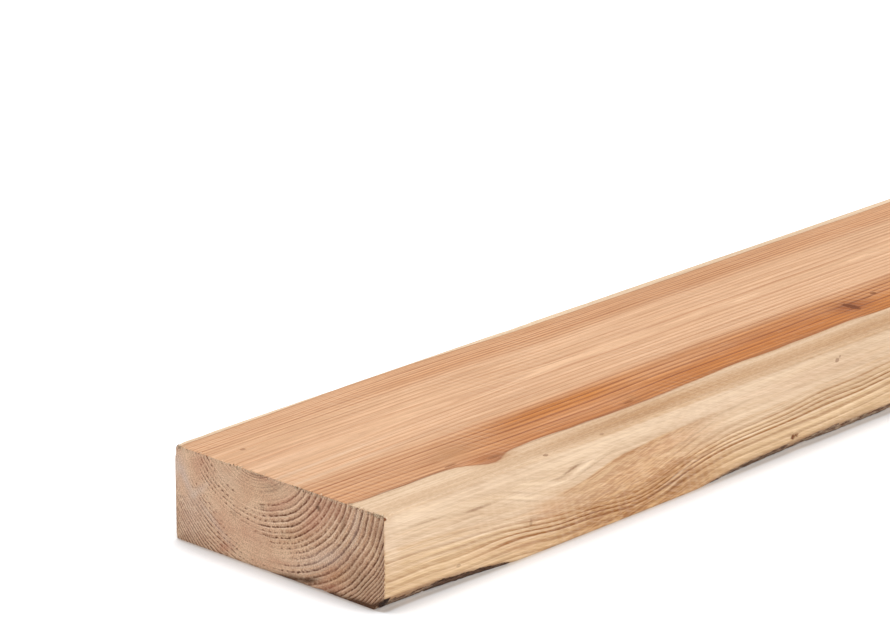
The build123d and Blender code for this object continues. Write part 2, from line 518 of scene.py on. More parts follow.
def makePlank():
    columns = spreadPlaces(width, cornerSpacing(width))
    rows = spreadPlaces(thickness, cornerSpacing(thickness))
    stations = spreadPlaces(length, stationSpacing)
    off, up = sectionOutline(stations, columns, rows)
    inward = inwardOf(off, up)
    along = np.broadcast_to(stations[:, None], off.shape)

    # Relief of the long faces, always inwards: broad saw waves, and less over the harder knots.
    knotty = np.exp(-((grainAt(along, off - width / 2, up)["reach"] / plank["knotEdge"]) ** 4))
    height, pitch, wide = plank["sawWave"]
    waves = 0.5 + 0.5 * noiseAt(41, (along, pitch), (off, wide), (up, wide))
    relief = height * waves + plank["knotRise"] * (1 - knotty)
    besideArris = np.maximum(fromEdge(off, width), fromEdge(up, thickness))
    relief = relief * smoothStep(0, plank["reliefSettle"], besideArris)
    off, up = off + relief * inward[..., 0], up + relief * inward[..., 1]

    # The arris round each end, worn and ragged.
    rough = noiseAt(43, (off, 7), (up, 7), (along, 300))
    rough = rough + 0.7 * noiseAt(44, (off, 1.9), (up, 1.9), (along, 300))
    pulled, inset = arcRound(fromEdge(along, length), raggedWear(plank["endWear"], rough))
    along = np.where(along < length / 2, pulled, length - pulled)
    off, up = off + inset * inward[..., 0], up + inset * inward[..., 1]
    skin = np.stack([along - length / 2, off - width / 2, up], -1)

    # Each end is a patch between the four sides of its outline, blended across and up.
    wide, tall = len(columns) - 1, len(rows) - 1
    columnsIn, rowsIn = columns[1:-1, None], rows[None, 1:-1]
    a, b = (columnsIn / width)[..., None], (rowsIn / thickness)[..., None]
    border = np.minimum(fromEdge(columnsIn, width), fromEdge(rowsIn, thickness))
    settleBy, settled = plank["endSettle"]
    settle = smoothStep(0, settleBy, border)
    points = [skin.reshape(-1, 3)]
    for loop, sign, seed in ((skin[0], 1, 51), (skin[-1], -1, 61)):
        bottom, far, top, near = splitLoop(loop, wide, tall)
        inside = (1 - b) * bottom[1:-1, None] + b * top[1:-1, None]
        inside = inside + (1 - a) * near[None, 1:-1] + a * far[None, 1:-1]
        inside = inside - (1 - a) * (1 - b) * bottom[0] - a * (1 - b) * bottom[-1]
        inside = inside - (1 - a) * b * top[0] - a * b * top[-1]
        depth = endRelief(inside[..., 1], inside[..., 2], seed)
        inside[..., 0] = -sign * length / 2 + sign * (depth * settle + settled * (1 - settle))
        points.append(inside.reshape(-1, 3))
    points = pressChips(np.concatenate(points))

    # Faces: the skin's grid, closed round the section, and each end's grid, whose border is the skin's own.
    index = np.arange(skin.size // 3).reshape(skin.shape[:2])
    turned = np.roll(index, -1, 1)
    faces = [np.stack([index[:-1], turned[:-1], turned[1:], index[1:]], -1).reshape(-1, 4)]
    inner = (wide - 1) * (tall - 1)
    for number, loop in enumerate((index[0], index[-1])):
        grid = np.zeros((wide + 1, tall + 1), int)
        grid[1:-1, 1:-1] = index.size + number * inner + np.arange(inner).reshape(wide - 1, tall - 1)
        grid[:, 0], grid[-1], grid[:, -1], grid[0] = splitLoop(loop, wide, tall)
        a, b, c, d = grid[:-1, :-1], grid[:-1, 1:], grid[1:, 1:], grid[1:, :-1]
        faces.append(np.stack((a, d, c, b) if number else (a, b, c, d), -1).reshape(-1, 4))
    skinFaces, faces = len(faces[0]), np.concatenate(faces)
    piece = addPiece("plank_dressed", points, faces, plankValues(points))
    piece.data.polygons.foreach_set("material_index", (np.arange(len(faces)) >= skinFaces).astype(np.int32))
    mapPlank(piece.data, stations, skin, columns, rows)
    return piece


# Patches of colour beside the rings: middle, half sizes, turn in degrees, and amount. Most are the wood's
# own colour, but the band along the top's near edge is partly its sapwood's tone and partly painted shade,
# and several dim patches darken the first end along its bottom edge. On the first end they lie at
# (-across, up), on the near side at (along, up), on the top at (along, across).
endPatches = {
    "blush": [
        (-57, 44, 6, 8, -20, 0.45), (-53, 46, 5, 4, 0, 0.3), (-38, 5, 6, 2.2, 25, 0.9),
        (-20, 16, 12, 6, -10, 0.6), (-40, 18, 9, 6, -30, 0.5), (-9, 49, 7, 1.6, 0, 0.6),
        (4, 39, 14, 2.6, 32, 0.8), (30, 44, 12, 7, 40, 0.7), (24, 33, 10, 4, 35, 0.6),
        (38, 12, 14, 3, 40, 0.4), (36, 3, 9, 2.4, 20, 0.8), (2, 7.4, 9, 1.3, 6, 0.7),
        (44, 44, 4, 8, 70, 0.5), (-10, 3, 12, 2, 0, 0.35),
    ],
    # Several of these lie along the bottom edge, up near 0, and darken the end there.
    "dim": [
        (10, 1.5, 13, 1.5, 7, 1.1), (23, 3.6, 7, 1.5, 20, 1.0), (70, 3, 6.5, 1.5, 45, 1.25),
        (62, 9, 12, 12, 45, 0.28), (72, 26, 4, 24, 0, 0.35), (28.6, 43.5, 1.4, 1.4, 0, 1.3),
        (39, 0.8, 5, 1.8, 0, 0.9), (-74, 10, 3, 12, 0, 0.2), (-11.5, 33.4, 2.0, 0.7, 10, 0.8),
        (-64, 2, 12, 3, 0, 0.2), (-31, 24.5, 2.0, 1.5, 0, 0.4), (4, 22.5, 1.4, 1.2, 0, 0.4),
        (8, 21.5, 1.2, 1.2, 0, 0.4), (46, 41, 1.4, 5, -12, 0.6), (64, 42, 10, 8, 0, 0.25),
        (0, 0, 74, 0.9, 0, 0.6), (58, 0.8, 13, 1.5, 0, 1.35), (68, 2.2, 4, 1.6, 40, 1.3),
        (36, 48, 10, 5, 0, 0.2), (-14, 49.6, 5, 0.8, 0, 0.7), (-3, 47, 9, 0.8, 18, 0.6),
        (-4, 44, 8, 0.8, 20, 0.5), (52, 20, 10, 16, 40, 0.2), (62, 2, 12, 2, 0, 0.4),
    ],
    "pale": [
        (-67, 35, 9, 2.2, -55, 1.0), (-56, 31, 8, 1.8, 38, 0.9), (-36, 42, 12, 6, 0, 0.3),
        (-62, 22, 10, 9, 0, 0.4), (28, 16, 18, 4, 25, 0.6), (54, 40, 2.4, 11, -12, 0.5),
        (-73, 36, 2, 9, 0, 1.0), (-44, 15, 14, 1.6, -38, 0.6), (38, 20, 10, 5, 30, 0.35),
        (-66, 8, 7, 7, 0, 0.2), (-69, 40, 4, 9, 20, 0.8), (-60, 14, 14, 12, 0, 0.25),
    ],
    "faint": [
        (-26, 17, 16, 8, 0, 1.0), (-68, 37, 9, 15, 0, 1.0), (-20, 41, 16, 5, 0, 0.6),
        (16, 17, 14, 5, 20, 0.5), (-40, 24, 9, 6, -30, 0.6), (-8, 9, 20, 6, 0, 0.8),
        (-42, 41, 10, 9, -50, 0.45), (-28, 33, 9, 4, 0, 0.65), (-48, 30, 9, 5, -30, 0.65),
        (-14, 27, 18, 3.5, 0, 0.45), (4, 22, 8, 3, 0, 0.5), (32, 34, 6, 8, 40, 0.25),
        (-74, 12, 5, 14, 0, 0.35), (0, 15, 12, 4, 0, 0.3), (-14, 4, 24, 4, 0, 0.7),
        (-20, 34.5, 10, 3, 0, 1.1), (-59, 45, 8, 8, 0, 0.7),
    ],
    "tan": [
        (-24, 42, 26, 9, 0, 0.2), (60, 14, 18, 14, 40, 0.15), (12, 24, 16, 5, 25, 0.3),
        (40, 11, 10, 6, 40, 0.5), (67, 36, 6, 12, 0, 0.15),
    ],
}
sidePatches = {
    "tan": [
        (3, 12, 30, 9, 0, 0.2), (226, 14, 30, 12, 15, 0.12), (140, 14, 26, 10, 0, 0.3),
        (130, 24, 20, 6, 0, 0.3),
    ],
    "blush": [
        (118, 20, 12, 6, 0, 0.25), (212, 33, 22, 4, 4, 0.35), (70, 12, 20, 4, 0, 0.15),
        (98, 8, 16, 3, -8, 0.3), (186, 24, 20, 5, 0, 0.2), (330, 40, 60, 5, 0, 0.15),
    ],
    "dim": [
        (138, 38.6, 6.5, 1.1, 16, 0.9), (106, 17.5, 3.5, 2.5, 60, 0.5), (30, 40, 22, 0.8, -1, 0.5),
        (68, 36.6, 13, 0.8, 0, 0.7), (85, 29, 20, 5, -10, 0.2), (60, 32, 24, 6, 0, 0.22),
        (228, 6, 26, 4.5, 0, 0.3), (203, 13, 16, 7, 0, 0.15), (300, 37, 70, 2, 0, 0.2),
        (3, 47, 4, 4, 0, 0.5), (176, 14, 3, 4, 20, 0.3), (164, 9, 3, 4, 0, 0.35),
        (365, 6.6, 34, 1.2, 0, 0.6), (288, 5.6, 26, 1.0, 0, 0.5), (3, 12, 4, 6, 0, 0.2),
        (80, 7.5, 5, 1.2, 0, 0.4), (86, 6, 3, 1.2, 0, 0.5), (340, 24, 50, 2, 2, 0.2),
    ],
    "pale": [
        (147, 38.5, 9, 1.8, 20, 1.0), (110, 31, 22, 1.2, -18, 0.8), (155, 33.6, 14, 1.4, 14, 0.5),
        (26, 45, 30, 6, 0, 0.35), (6, 30, 4, 12, 0, 0.5), (70, 22.6, 34, 0.9, -4, 0.9),
        (262, 44, 60, 5, 0, 0.3), (40, 25.4, 30, 0.8, -3, 0.7), (40, 20, 34, 0.8, -2, 0.5),
        (225, 14, 16, 0.7, 18, 0.5), (280, 25.6, 30, 0.6, 3, 0.5), (280, 20, 30, 0.6, 3, 0.4),
    ],
    "faint": [
        (30, 42, 60, 9, 0, 0.5), (280, 44, 90, 6, 0, 0.4), (150, 44, 60, 6, 0, 0.7),
        (140, 22, 14, 5, 0, 0.3), (200, 24, 20, 6, 0, 0.3),
    ],
}
topPatches = {
    # The first three, a band along the near edge, are partly the sapwood's tone and partly painted shade.
    "tan": [
        (190, -66, 90, 12, 0, 0.7), (400, -66, 170, 12, 0, 0.8), (30, -66, 60, 12, 0, 0.3),
        (330, -30, 60, 6, 0, 0.3), (95, -56, 12, 5, 0, 1.2), (410, -36, 12, 8, 0, 1.3),
    ],
    "blush": [
        (330, -40, 90, 10, 0, 0.3), (175, -40, 40, 10, 0, 0.3), (92, -54, 14, 4.4, -8, 0.3),
        (150, -50, 50, 2, 0, 0.3), (22, 24, 40, 9, 0, 0.25),
    ],
    "dim": [
        (98, -55.5, 9, 2.4, -8, 0.6), (212, -47, 3, 8, 10, 0.5), (130, -70, 130, 2.0, 0, 0.25),
        (86, -37, 15, 8, 20, 0.6), (20, 31, 60, 1.2, 1, 0.5), (20, 26, 60, 1.1, 1, 0.4),
        (20, 12, 60, 1.2, 2, 0.3), (410, -36, 14, 12, 0, 0.2),
    ],
    "pale": [
        (20, 2, 60, 1.5, 3, 0.7), (30, -10, 60, 1.4, 2, 0.6), (20, 18, 40, 6, 0, 0.3),
        (300, -56, 110, 1.4, 0, 0.4), (40, -59, 50, 3, 0, 0.3),
    ],
    "faint": [
        (85, -38, 13, 8, 20, 0.9), (20, 45, 60, 22, 0, 0.5), (330, -38, 60, 8, 0, 0.3),
        (20, 8, 60, 22, 0, 0.35), (130, 20, 90, 12, 0, 0.4), (300, 40, 120, 14, 0, 0.4),
    ],
}

# How boldly the late wood shows against a ring's radius in millimetres, on the sawn ends and along the
# grain, near the first end and later.
boldEnd = ((0, 0.2), (12, 0.4), (15, 0.8), (20, 0.8), (24, 0.3), (36, 0.25), (38.5, 1.2), (41, 0.8),
           (45, 1.1), (60, 1.3), (76, 1.2), (80, 1.4), (130, 1.3))
boldLong = ((0, 0.5), (30, 0.7), (45, 1.0), (61, 1.2), (64, 0.35), (77.2, 0.25), (78.6, 0.5), (79.4, 0.95),
            (82, 0.8), (83.5, 0.55), (86, 0.4), (130, 0.35))
boldLater = ((0, 0.5), (30, 0.7), (45, 1.0), (61, 1.2), (64, 0.3), (78, 0.25), (79.2, 0.9), (79.8, 2.0),
             (82.0, 1.9), (82.9, 0.6), (90, 0.4), (130, 0.3))

# Along the grain the wood is darker beside each whorl, low on the near side, up to an edge that rises.
shade = {
    "begins": (84 * mm, 178 * mm),
    "ends": (212 * mm, 292 * mm),          # on the floor, and earlier the higher
    "endsLean": 0.55,
    "edge": ((100, 25), (130, 28), (150, 31), (160, 33.2), (172, 35.6), (185, 36.8), (200, 38), (260, 40)),
    "edgeWaver": 0.4 * mm,
    "across": (20 * mm, 6 * mm),           # it fades in between these distances off the near side
}


def shadeAt(along, across, up):
    # Smooth rise and fall beside each whorl, and how many millimetres below its edge a point lies.
    places, heights = np.array(shade["edge"]).T * mm
    total, below = np.zeros(along.shape), np.full(along.shape, -5.0)
    for whorl in range(whorlCount):
        place = along - whorl * tree["whorlSpacing"]
        amount = smoothStep(*shade["begins"], place)
        amount = amount * (1 - smoothStep(*shade["ends"], place + shade["endsLean"] * up))
        edge = np.interp(place, places, heights) + shade["edgeWaver"] * noiseAt(71, (along, 16))
        below = np.where(amount > 0, (edge - up) / mm, below)
        total += amount
    total = total * smoothStep(*(-width / 2 + off for off in shade["across"]), across)
    return total, np.clip(below, -5, 20)


# Where the heartwood is deep in colour: between these radii in millimetres, and along and across. On the
# top's near half this deep colour is partly painted shade.
deepHeartAndShade = {
    "radii": (34, 46),
    "along": (60 * mm, 160 * mm),
    "across": (0, -25 * mm),
    "least": (0.4, 0.35),                  # of it before those places, along and across
}
# Where the trunk's outside colours the wood: off the wane's edge, and on a wane with this much of a leg.
outsideEdge = (0.8 * mm, -0.2 * mm)
outsideLeg = (0.7 * mm, 1.6 * mm)


def plankValues(points):
    # What the materials read: the ring count and its boldness, the heartwood and where it is deep in colour
    # (partly painted shade on the top's near half), the knots, the trunk's outside and the patches.
    along, across, up = points[:, 0] + length / 2, points[:, 1], points[:, 2]
    grain = grainAt(along, across, up)
    onFirstEnd = along < plank["endZone"]
    onAnEnd = onFirstEnd | (along > length - plank["endZone"])
    radius = grain["radius"] / mm
    deep = smoothStep(*deepHeartAndShade["radii"], radius)
    for name, place, least in zip(("along", "across"), (along, across), deepHeartAndShade["least"]):
        deep = deep * (least + (1 - least) * smoothStep(*deepHeartAndShade[name], place))
    deep = deep * (0.85 + 0.3 * noiseAt(72, (along, 90), (across, 14)))
    leg = wanePoint(along, along * 0)[2]
    outside = smoothStep(*(leg + off for off in outsideEdge), across + width / 2 + up)
    boldnessEnd, boldnessNear, boldnessLater = (
        np.interp(radius, *np.array(bold).T) for bold in (boldEnd, boldLong, boldLater)
    )
    boldness = boldnessNear + grain["later"] * (boldnessLater - boldnessNear)
    shadeHere, below = shadeAt(along, across, up)
    values = {
        "ring": np.where(onAnEnd, grain["endRing"], grain["ring"]),
        "bold": np.where(onAnEnd, boldnessEnd, boldness),
        "outer": smoothStep(78.4, 80.4, radius),
        "outside": outside * smoothStep(*outsideLeg, leg),
        "deep": deep, "shade": shadeHere, "below": below,
    }
    values.update({name: grain[name] for name in ("heart", "dead", "reach", "knot")})
    faces = (
        (endPatches, onFirstEnd, -across, up),
        (sidePatches, (across < -width / 2 + plank["sideZone"]) & ~onFirstEnd, along, up),
        (topPatches, (up > thickness - plank["topZone"]) & ~onFirstEnd, along, across),
    )
    for name in endPatches:
        values[name] = sum(np.where(on, addPatches(patches[name], a, b), 0) for patches, on, a, b in faces)
    return values


# Helpers for materials.

def colour(red, green, blue):
    # A colour as a screen shows it, from 0 to 255, made into the light it stands for.
    shown = np.array([red, green, blue]) / 255
    light = np.where(shown <= 0.04045, shown / 12.92, ((shown + 0.055) / 1.055) ** 2.4)
    return (*light.tolist(), 1)


def colours(**table):
    return {name: colour(*shown) for name, shown in table.items()}


def addNode(tree, kind, inputs=None, **settings):
    # One node with its settings, its sockets filled with values or linked to other sockets.
    node = tree.nodes.new("ShaderNode" + kind)
    for name, value in settings.items():
        setattr(node, name, value)
    for name, value in (inputs or {}).items():
        if isinstance(value, bpy.types.NodeSocket):
            tree.links.new(value, node.inputs[name])
        else:
            node.inputs[name].default_value = value
    return node


def calc(tree, operation, *values):
    return addNode(tree, "Math", dict(enumerate(values)), operation=operation).outputs[0]


def times(tree, first, second):
    return calc(tree, "MULTIPLY", first, second)


def ramp(tree, value, low, high, start=0.0, end=1.0):
    inputs = {"Value": value, "From Min": low, "From Max": high, "To Min": start, "To Max": end}
    return addNode(tree, "MapRange", inputs, interpolation_type="SMOOTHSTEP").outputs["Result"]


def fade(tree, value, start, end):
    return ramp(tree, value, 0.0, 1.0, start, end)


def noise(tree, place, scale, detail, roughness=0.5):
    inputs = {"Vector": place, "Scale": scale, "Detail": detail, "Roughness": roughness}
    return addNode(tree, "TexNoise", inputs).outputs["Fac"]


def read(tree, name, output="Fac"):
    return addNode(tree, "Attribute", attribute_name=name).outputs[output]


def mixColour(tree, amount, first, second, kind="MIX"):
    inputs = {0: amount, 6: first, 7: second}
    return addNode(tree, "Mix", inputs, data_type="RGBA", blend_type=kind).outputs[2]


def layColours(tree, look, wood, *layers):
    # Lays colours on the wood, one after the other: each has an amount, the colour's name and, where it
    # isn't a plain mix, the way it blends.
    for amount, name, *kind in layers:
        wood = mixColour(tree, amount, wood, look[name], *kind)
    return wood


def layPatches(tree, look, wood, **shares):
    # Lays each kind of patch on the wood in its own colour, up to its share.
    layers = ((times(tree, read(tree, name), share), name) for name, share in shares.items())
    return layColours(tree, look, wood, *layers)


def newGroup(name, **inputs):
    # A shader group and its inputs: a number makes a float socket, None or three numbers a vector socket.
    group = bpy.data.node_groups.new(name, "ShaderNodeTree")
    for socket, value in inputs.items():
        kind = "NodeSocketFloat" if isinstance(value, float) else "NodeSocketVector"
        made = group.interface.new_socket(name=socket, in_out="INPUT", socket_type=kind)
        if value is not None:
            made.default_value = value
    return group, group.nodes.new("NodeGroupInput").outputs


def closeGroup(group, **values):
    # Gives the group an output for each value.
    for name in values:
        group.interface.new_socket(name=name, in_out="OUTPUT", socket_type="NodeSocketFloat")
    out = group.nodes.new("NodeGroupOutput").inputs
    for name, value in values.items():
        group.links.new(value, out[name])
    return group


def placeGroup(tree, group, **inputs):
    return addNode(tree, "Group", inputs, node_tree=group).outputs


def newMaterial(name):
    material = bpy.data.materials.new(name)
    material.use_nodes = True
    tree = material.node_tree
    tree.nodes.clear()
    shader = addNode(tree, "BsdfPrincipled")
    addNode(tree, "OutputMaterial", {"Surface": shader.outputs[0]})
    return material, tree, shader


def dressShader(tree, shader, wood, rough, specular, height=None, strength=0.0, distance=0.0):
    # Puts the colour, the roughness and, where there is a height, the bump on a material's shader.
    tree.links.new(wood, shader.inputs["Base Color"])
    tree.links.new(rough, shader.inputs["Roughness"])
    shader.inputs["Specular IOR Level"].default_value = specular
    if height:
        bump = addNode(tree, "Bump", {"Height": height, "Strength": strength, "Distance": distance})
        tree.links.new(bump.outputs[0], shader.inputs["Normal"])


def stretchPlace(group, given):
    # The group's place, divided by its length along the plank and by its breadth across and up.
    apart = addNode(group, "SeparateXYZ", {"Vector": given["Place"]}).outputs
    sizes = (("X", "Length"), ("Y", "Breadth"), ("Z", "Breadth"))
    parts = {axis: calc(group, "DIVIDE", apart[axis], given[size]) for axis, size in sizes}
    return parts["X"], addNode(group, "CombineXYZ", parts).outputs[0]


# Growth rings: a year's wood starts pale, darkens slowly, then stops at a sharp edge. The rings waver, years
# differ, and finer lines run along with them.
def makeRingGroup():
    group, given = newGroup("growthRings", Count=0.0, Place=None, Length=60 * mm, Breadth=5 * mm, Waver=0.8,
                            Fineness=6.0, LateFrom=0.25)
    along, stretched = stretchPlace(group, given)
    off = calc(group, "SUBTRACT", noise(group, stretched, 1.0, 4.0, 0.6), 0.5)
    count = calc(group, "MULTIPLY_ADD", off, given["Waver"], given["Count"])
    part = calc(group, "FRACT", count)
    whole = calc(group, "FLOOR", count)
    drawn = {"X": along, "Y": times(group, count, given["Fineness"])}
    line = noise(group, addNode(group, "CombineXYZ", drawn).outputs[0], 1.0, 3.0, 0.65)
    return closeGroup(
        group,
        Late=times(group, ramp(group, part, given["LateFrom"], 0.84), ramp(group, part, 0.9, 1.0, 1.0, 0.0)),
        Pale=ramp(group, part, 0.12, 0.38, 1.0, 0.0),
        Year=addNode(group, "TexWhiteNoise", {"W": whole}, noise_dimensions="1D").outputs["Value"],
        Line=ramp(group, line, 0.32, 0.68),
    )


# Fibres: noise drawn out along the plank, so that it streaks the long faces and speckles the ends.
def makeFibreGroup():
    group, given = newGroup("fibres", Place=None, Length=60 * mm, Breadth=0.7 * mm)
    stretched = stretchPlace(group, given)[1]
    return closeGroup(
        group,
        Streak=ramp(group, noise(group, stretched, 1.0, 3.0, 0.6), 0.3, 0.7),
        Fleck=ramp(group, noise(group, stretched, 2.7, 1.0), 0.6, 0.75),
    )


# Saw marks: bands across the feed, slightly slanted and uneven, that come and go.
def makeSawGroup():
    group, given = newGroup("sawMarks", Place=None, Pitch=6 * mm, Slant=0.12, Patch=60 * mm)
    apart = addNode(group, "SeparateXYZ", {"Vector": given["Place"]}).outputs
    sideways = calc(group, "ADD", apart["Y"], apart["Z"])
    slanted = calc(group, "MULTIPLY_ADD", sideways, given["Slant"], apart["X"])
    slanted = calc(group, "MULTIPLY_ADD", noise(group, given["Place"], 22.0, 1.0), 4 * mm, slanted)
    wave = calc(group, "SINE", times(group, calc(group, "DIVIDE", slanted, given["Pitch"]), 2 * math.pi))
    patches = noise(group, given["Place"], calc(group, "DIVIDE", 1.0, given["Patch"]), 2.0)
    patches = ramp(group, patches, 0.42, 0.68)
    return closeGroup(group, Mark=times(group, ramp(group, wave, -0.2, 1.0), patches))


# Knots: a round of darker wood with its own close rings and drying cracks, and a black rim where one was
# dead.
def makeKnotGroup():
    group, given = newGroup("knots", Knot=None, Reach=4.0, Dead=0.0)
    off = addNode(group, "VectorMath", {0: given["Knot"]}, operation="LENGTH").outputs["Value"]
    rough = noise(group, given["Knot"], 2.2, 3.0)
    off = calc(group, "ADD", off, times(group, calc(group, "SUBTRACT", rough, 0.5), 0.35))
    real = ramp(group, given["Reach"], 2.2, 3.0, 1.0, 0.0)
    inside = times(group, ramp(group, off, 0.86, 1.0, 1.0, 0.0), real)
    edge = calc(group, "ABSOLUTE", calc(group, "SUBTRACT", off, 0.98))
    rim = times(group, ramp(group, edge, 0.03, 0.16, 1.0, 0.0), real)
    apart = addNode(group, "SeparateXYZ", {"Vector": given["Knot"]}).outputs
    turn = calc(group, "ARCTAN2", apart["Y"], apart["X"])
    spokes = calc(group, "SINE", calc(group, "MULTIPLY_ADD", turn, 3.0, times(group, rough, 3.0)))
    return closeGroup(
        group,
        Inside=inside,
        Rings=calc(group, "SINE", times(group, off, 34.0)),
        Rim=times(group, rim, calc(group, "MULTIPLY_ADD", given["Dead"], 0.65, 0.35)),
        Halo=times(group, ramp(group, off, 0.9, 2.4, 1.0, 0.0), real),
        Crack=times(group, ramp(group, spokes, 0.965, 0.995), times(group, inside, given["Dead"])),
    )


# A spot: an oval at a place, which may rise along the plank by a slope. Its edge starts at a share of its
# size.
def makeSpotGroup():
    group, given = newGroup("spot", Place=None, Middle=(0, 0, 0), Sizes=(1, 1, 1), Slope=0.0, Edge=0.7)

    def vectors(operation, first, second):
        return addNode(group, "VectorMath", {0: first, 1: second}, operation=operation).outputs[0]

    off = vectors("SUBTRACT", given["Place"], given["Middle"])
    rise = times(group, addNode(group, "SeparateXYZ", {"Vector": off}).outputs["X"], given["Slope"])
    off = vectors("SUBTRACT", off, addNode(group, "CombineXYZ", {"Z": rise}).outputs[0])
    off = vectors("DIVIDE", off, given["Sizes"])
    off = addNode(group, "VectorMath", {0: off}, operation="LENGTH").outputs["Value"]
    rough = calc(group, "SUBTRACT", noise(group, given["Place"], 900.0, 2.0), 0.5)
    off = calc(group, "ADD", off, times(group, rough, 0.7))
    return closeGroup(group, Mask=ramp(group, off, given["Edge"], 1.15, 1.0, 0.0))


ringGroup, fibreGroup, sawGroup = makeRingGroup(), makeFibreGroup(), makeSawGroup()
knotGroup, spotGroup = makeKnotGroup(), makeSpotGroup()
print("shader groups made")


def brokenLines(tree, streak):
    # How much of the late wood's lines is left: whole where faint is 0, dashes where it is a half, and next
    # to nothing where it is 1.
    faint = times(tree, read(tree, "faint"), 1.15)
    whole = ramp(tree, streak, calc(tree, "SUBTRACT", faint, 0.4), calc(tree, "ADD", faint, 0.3))
    return times(tree, whole, fade(tree, streak, 0.6, 1.1))


def fibresAt(tree, place, *sizes):
    # A fibre group for each length and breadth, in millimetres.
    return [placeGroup(tree, fibreGroup, Place=place, Length=a * mm, Breadth=b * mm) for a, b in sizes]


def ringsAt(tree, place, streak, yearChange, yearLeast, **sizes):
    # The growth rings, how boldly they show here, and how much of it is late wood, which differs by year.
    rings = placeGroup(tree, ringGroup, Count=read(tree, "ring"), Place=place, **sizes)
    bold = times(tree, read(tree, "bold"), brokenLines(tree, streak))
    year = calc(tree, "MULTIPLY_ADD", rings["Year"], yearChange, yearLeast)
    return rings, bold, times(tree, times(tree, rings["Late"], year), bold)


def knotsAt(tree):
    inputs = {"Knot": read(tree, "knot", "Vector"), "Reach": read(tree, "reach"), "Dead": read(tree, "dead")}
    return placeGroup(tree, knotGroup, **inputs)


def layKnots(tree, look, wood, knot, ringsShow):
    # The knot's own wood, with its rings as dark as ringsShow, and its rim.
    rings = ramp(tree, knot["Rings"], -1.0, 1.0, 0.0, ringsShow)
    wood = mixColour(tree, knot["Inside"], wood, mixColour(tree, rings, look["knot"], look["knotRim"]))
    return layColours(tree, look, wood, (knot["Rim"], "knotRim"))


longGrain = colours(
    sapEarly=(233, 207, 176), sapLate=(222, 186, 146), outerEarly=(235, 205, 164), outerLate=(168, 120, 74),
    outerPale=(246, 222, 190), heartEarly=(236, 194, 156), heartLate=(190, 130, 88),
    # the deep heartwood colours are partly painted shade
    deepEarly=(208, 136, 68), deepLate=(140, 76, 34), heartEdge=(152, 88, 38), blush=(208, 132, 88),
    dim=(164, 122, 82), pale=(246, 224, 198), tan=(204, 172, 132), shade=(238, 200, 126),
    mottle=(176, 122, 74), duct=(120, 70, 40), outside=(168, 124, 86), grey=(206, 190, 164),
    knot=(150, 88, 48), knotRim=(60, 34, 20), speck=(104, 50, 8),
)

# Small spots on the long faces: the place along, across and up and half sizes, in millimetres, and strength.
spots = [
    (351, -74, 43, 1.8, 1.5, 1.3, 0.5), (353.5, -74, 44.6, 0.9, 1.5, 0.8, 0.4),
    (317, -74, 8.1, 3.9, 2.5, 1.7, 0.95), (117.6, -73, 51, 1.8, 1.2, 0.7, 0.55),
    (160.1, -73, 51, 1.4, 1.0, 0.6, 0.45), (19, 44, 51, 1.8, 1.4, 1.3, 0.45),
    (206, -50.8, 51, 4.4, 0.9, 1.5, 0.6), (74, -48.4, 51, 4.8, 0.8, 1.5, 0.6),
    (1.0, -73, 49, 1.4, 1.6, 1.0, 0.95), (410, -36.5, 51, 3.0, 7.0, 2.5, 0.9),
    (437, -30.5, 51, 2.4, 1.6, 1.5, 0.7), (428, -33, 51, 5.0, 0.8, 1.5, 0.5),
    (98, -56, 51, 5.0, 1.3, 1.5, 0.45), (38, -50.8, 51, 40, 0.55, 1.5, 0.45),
    (160, -54.9, 51, 55, 0.45, 1.5, 0.35), (300, -51.2, 51, 70, 0.45, 1.5, 0.35),
    (53, -74, 10, 1.8, 1.5, 1.0, 0.3), (106, -74, 18, 1.2, 1.5, 2.2, 0.3),
]
# Fine streaks on the near side: the place along and up, half length and half height in millimetres,
# strength, which is below 0 for a pale one, slope along the plank, and where the soft edge starts.
streaks = [
    (136, 38.3, 9.0, 1.0, 0.5, 0.2, 0.1), (126, 36.2, 8.0, 0.8, 0.3, -0.05, 0.1),
    (144, 36.8, 15, 1.5, -0.5, 0.24, 0.0), (124, 33.8, 13, 1.2, -0.4, -0.08, 0.0),
    (96, 34.0, 20, 1.3, -0.45, -0.3, 0.0), (98, 36.2, 19, 0.9, 0.2, -0.3, 0.0),
    (100, 31.6, 19, 0.9, 0.2, -0.32, 0.0), (108, 38.4, 19, 1.1, -0.35, -0.22, 0.0),
    (110, 40.6, 19, 0.9, 0.14, -0.2, 0.0), (146, 34.8, 14, 0.9, 0.2, 0.26, 0.0),
    (158, 37.4, 15, 0.8, 0.18, 0.24, 0.0), (160, 40.6, 18, 0.9, -0.25, 0.2, 0.0),
    (67, 36.6, 11, 0.9, 0.36, -0.02, 0.1), (64, 33.2, 11, 0.8, 0.2, -0.06, 0.0),
    (29, 39.8, 18, 0.8, 0.26, -0.05, 0.0), (232, 31.5, 21, 1.0, 0.26, 0.2, 0.0),
    (228, 27.6, 19, 0.9, 0.2, 0.24, 0.0), (264, 38.5, 26, 0.9, 0.18, 0.08, 0.0),
    (318, 36.4, 24, 0.9, 0.16, 0.0, 0.0), (216, 6.6, 16, 1.1, 0.45, 0.3, 0.0),
    (217, 8.8, 16, 0.8, -0.4, 0.3, 0.0), (219, 10.8, 18, 1.0, 0.4, 0.3, 0.0),
    (220, 13.2, 17, 0.8, -0.35, 0.3, 0.0), (218, 17.8, 16, 1.0, 0.36, 0.3, 0.0),
]


